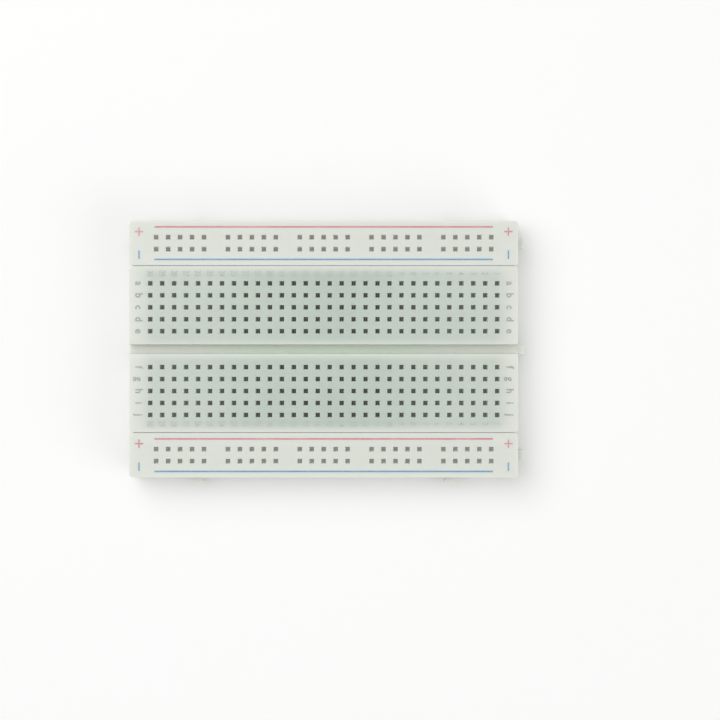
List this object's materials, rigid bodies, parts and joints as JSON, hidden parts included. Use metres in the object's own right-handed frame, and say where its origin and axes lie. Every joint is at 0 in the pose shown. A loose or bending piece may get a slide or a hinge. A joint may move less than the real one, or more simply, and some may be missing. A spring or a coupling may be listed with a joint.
{
  "type": "solderless breadboard",
  "caption": "Solderless breadboard: a terminal strip with a centre channel, between bus strips on dovetail tabs, with spring clips under a grid of square holes.",
  "frame": {"origin": "underside of the release liner, under the middle of the tie-point grid", "axes": "+X from column 30 to column 1, +Y from row j to row a, +Z out of the tie-point face"},
  "size_m": [0.0839, 0.0559, 0.0097],
  "materials": {
    "housing_plastic": "satin",
    "clip_metal": "satin",
    "foam_tape": "matte",
    "liner_paper": "satin",
    "red_ink": "satin",
    "blue_ink": "satin",
    "grey_ink": "satin"
  },
  "bodies": {
    "upper_bus_strip": {"upper_bus_housing": "housing_plastic", "upper_foam_tape": "foam_tape", "upper_positive_bus_clip": "clip_metal", "upper_negative_bus_clip": "clip_metal", "upper_positive_marking": "red_ink", "upper_negative_marking": "blue_ink", "release_liner": "liner_paper"},
    "terminal_strip": {"terminal_strip_housing": "housing_plastic", "terminal_foam_tape": "foam_tape", "contact_clips_column_01": "clip_metal", "contact_clips_column_02": "clip_metal", "contact_clips_column_03": "clip_metal", "contact_clips_column_04": "clip_metal", "contact_clips_column_05": "clip_metal", "contact_clips_column_06": "clip_metal", "contact_clips_column_07": "clip_metal", "contact_clips_column_08": "clip_metal", "contact_clips_column_09": "clip_metal", "contact_clips_column_10": "clip_metal", "contact_clips_column_11": "clip_metal", "contact_clips_column_12": "clip_metal", "contact_clips_column_13": "clip_metal", "contact_clips_column_14": "clip_metal", "contact_clips_column_15": "clip_metal", "contact_clips_column_16": "clip_metal", "contact_clips_column_17": "clip_metal", "contact_clips_column_18": "clip_metal", "contact_clips_column_19": "clip_metal", "contact_clips_column_20": "clip_metal", "contact_clips_column_21": "clip_metal", "contact_clips_column_22": "clip_metal", "contact_clips_column_23": "clip_metal", "contact_clips_column_24": "clip_metal", "contact_clips_column_25": "clip_metal", "contact_clips_column_26": "clip_metal", "contact_clips_column_27": "clip_metal", "contact_clips_column_28": "clip_metal", "contact_clips_column_29": "clip_metal", "contact_clips_column_30": "clip_metal"},
    "lower_bus_strip": {"lower_bus_housing": "housing_plastic", "lower_foam_tape": "foam_tape", "lower_positive_bus_clip": "clip_metal", "lower_negative_bus_clip": "clip_metal", "lower_positive_marking": "red_ink", "lower_negative_marking": "blue_ink"}
  },
  "joints": [
    {"name": "terminal_strip_lift", "type": "slide", "parent": "upper_bus_strip", "child": "terminal_strip", "axis": [0, 0, 1], "range_m": [0, 0.012]},
    {"name": "lower_bus_strip_lift", "type": "slide", "parent": "terminal_strip", "child": "lower_bus_strip", "axis": [0, 0, 1], "range_m": [0, 0.012]}
  ]
}
